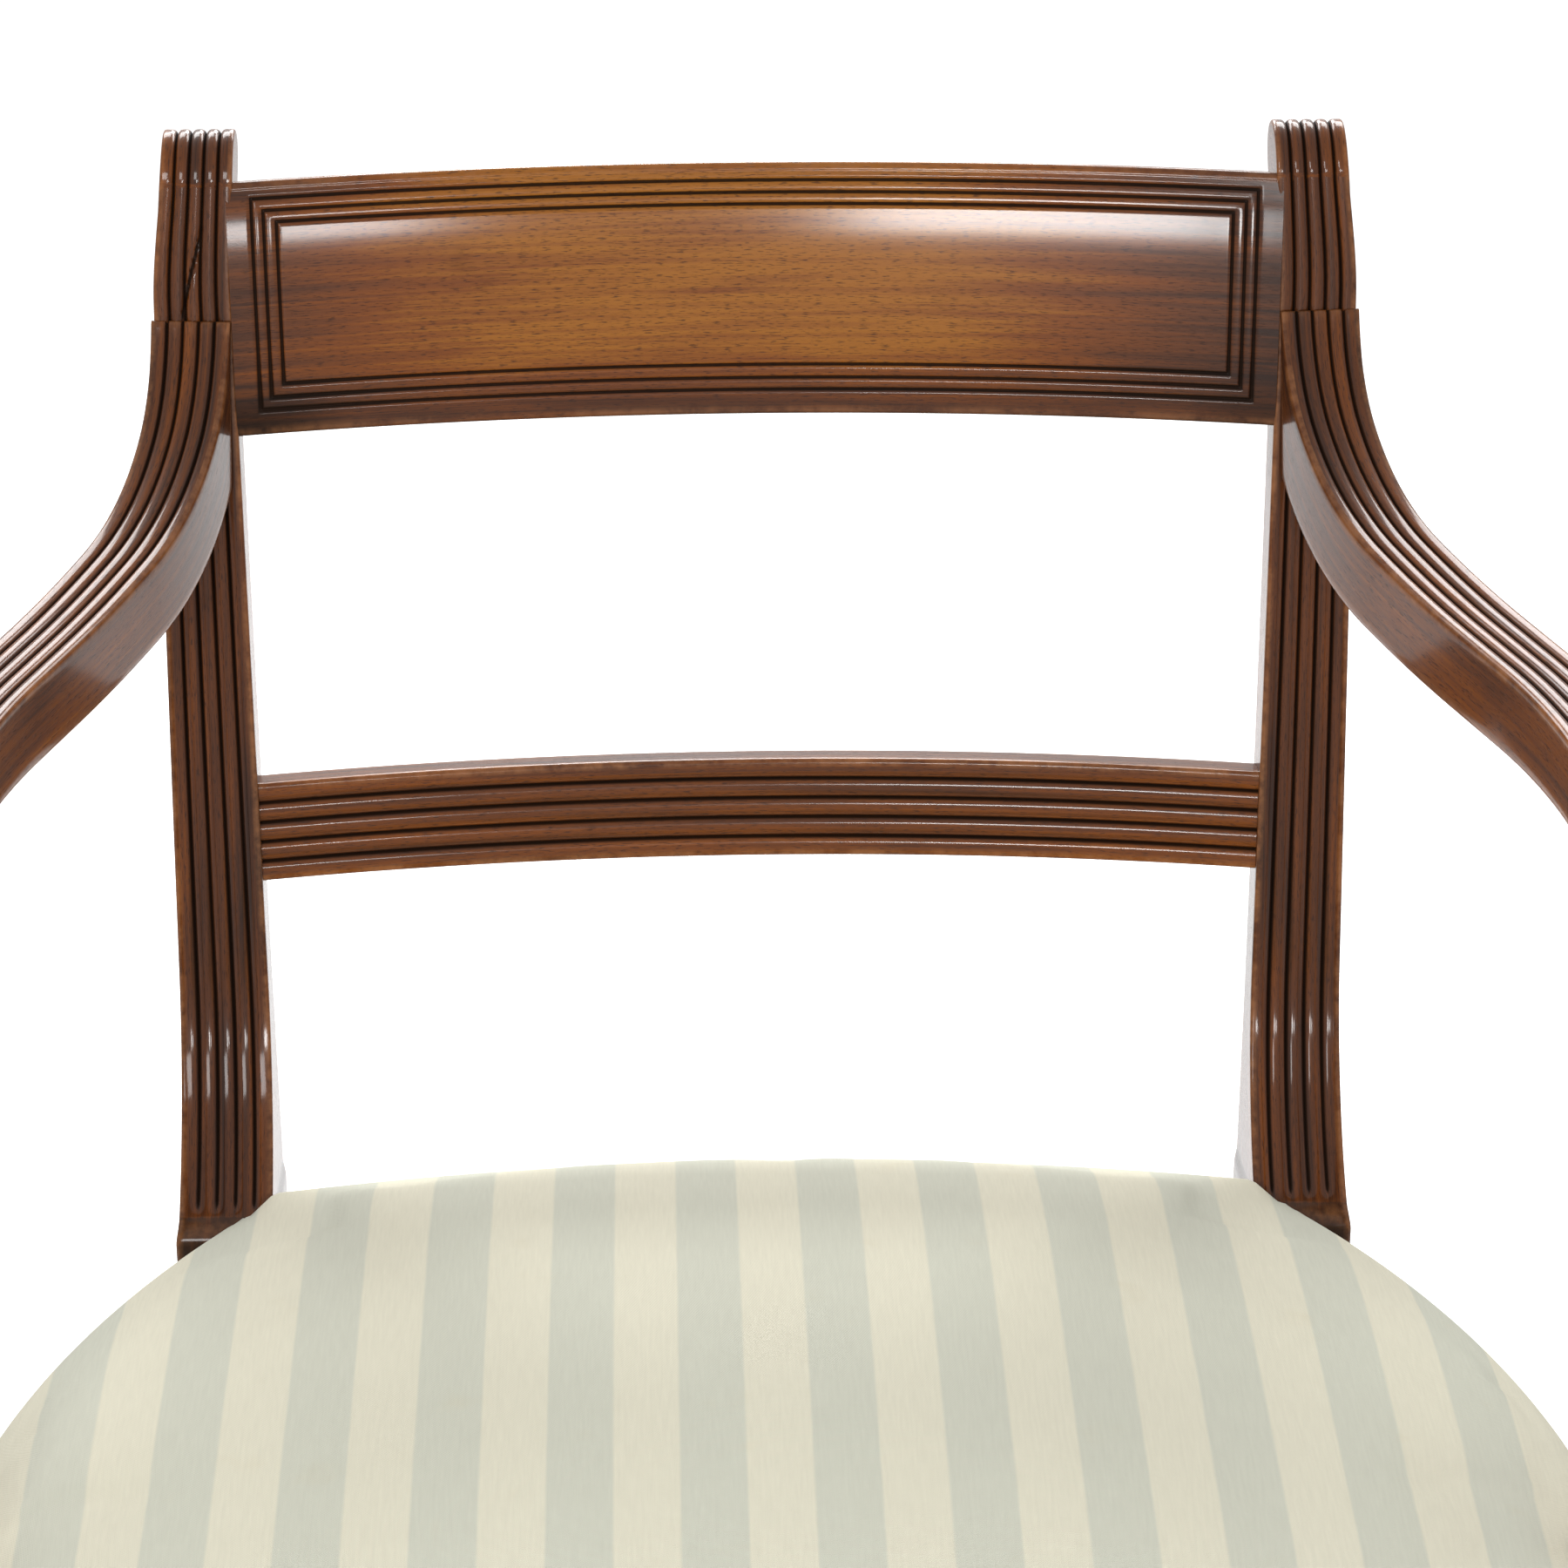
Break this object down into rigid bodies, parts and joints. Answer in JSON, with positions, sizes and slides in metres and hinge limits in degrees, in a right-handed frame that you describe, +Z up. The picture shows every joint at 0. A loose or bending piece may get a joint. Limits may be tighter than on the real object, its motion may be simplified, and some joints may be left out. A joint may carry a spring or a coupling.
{
  "type": "carver chair",
  "caption": "Open wooden dining armchair with reeded scroll-top posts, bowed tablet crest and mid rail, sweeping arms, sabre legs and a stuffed-over striped seat.",
  "frame": {"origin": "on the floor, under the middle of the chair's box", "axes": "+Z up, +Y to the back, +X to the right seen from the front"},
  "size_m": [0.6, 0.5514, 0.8218],
  "materials": {
    "mahogany": "french polished mahogany, worn",
    "beech": "bare sawn beech",
    "striped_cloth": "ribbed cotton with woven stripes",
    "stuffing": "hair stuffing under wadding",
    "jute": "plain woven jute",
    "lining": "plain black cotton",
    "steel": "dull steel"
  },
  "bodies": {
    "root": {"arm_joint_plugs": "mahogany", "arm_joint_screws": "steel", "arm_support_screws": "steel", "back_seat_rail": "beech", "bottom_lining": "lining", "corner_block_screws": "steel", "crest_rail": "mahogany", "front_seat_rail": "beech", "left_arm": "mahogany", "left_arm_support": "mahogany", "left_back_corner_block": "beech", "left_back_post": "mahogany", "left_front_corner_block": "beech", "left_front_leg": "mahogany", "left_seat_rail": "beech", "lining_tacks": "steel", "mid_rail": "mahogany", "right_arm": "mahogany", "right_arm_support": "mahogany", "right_back_corner_block": "beech", "right_back_post": "mahogany", "right_front_corner_block": "beech", "right_front_leg": "mahogany", "right_seat_rail": "beech", "seat_cover": "striped_cloth", "seat_hessian": "jute", "seat_stuffing": "stuffing", "seat_webbing_crosswise": "jute", "seat_webbing_lengthwise": "jute"}
  },
  "joints": []
}
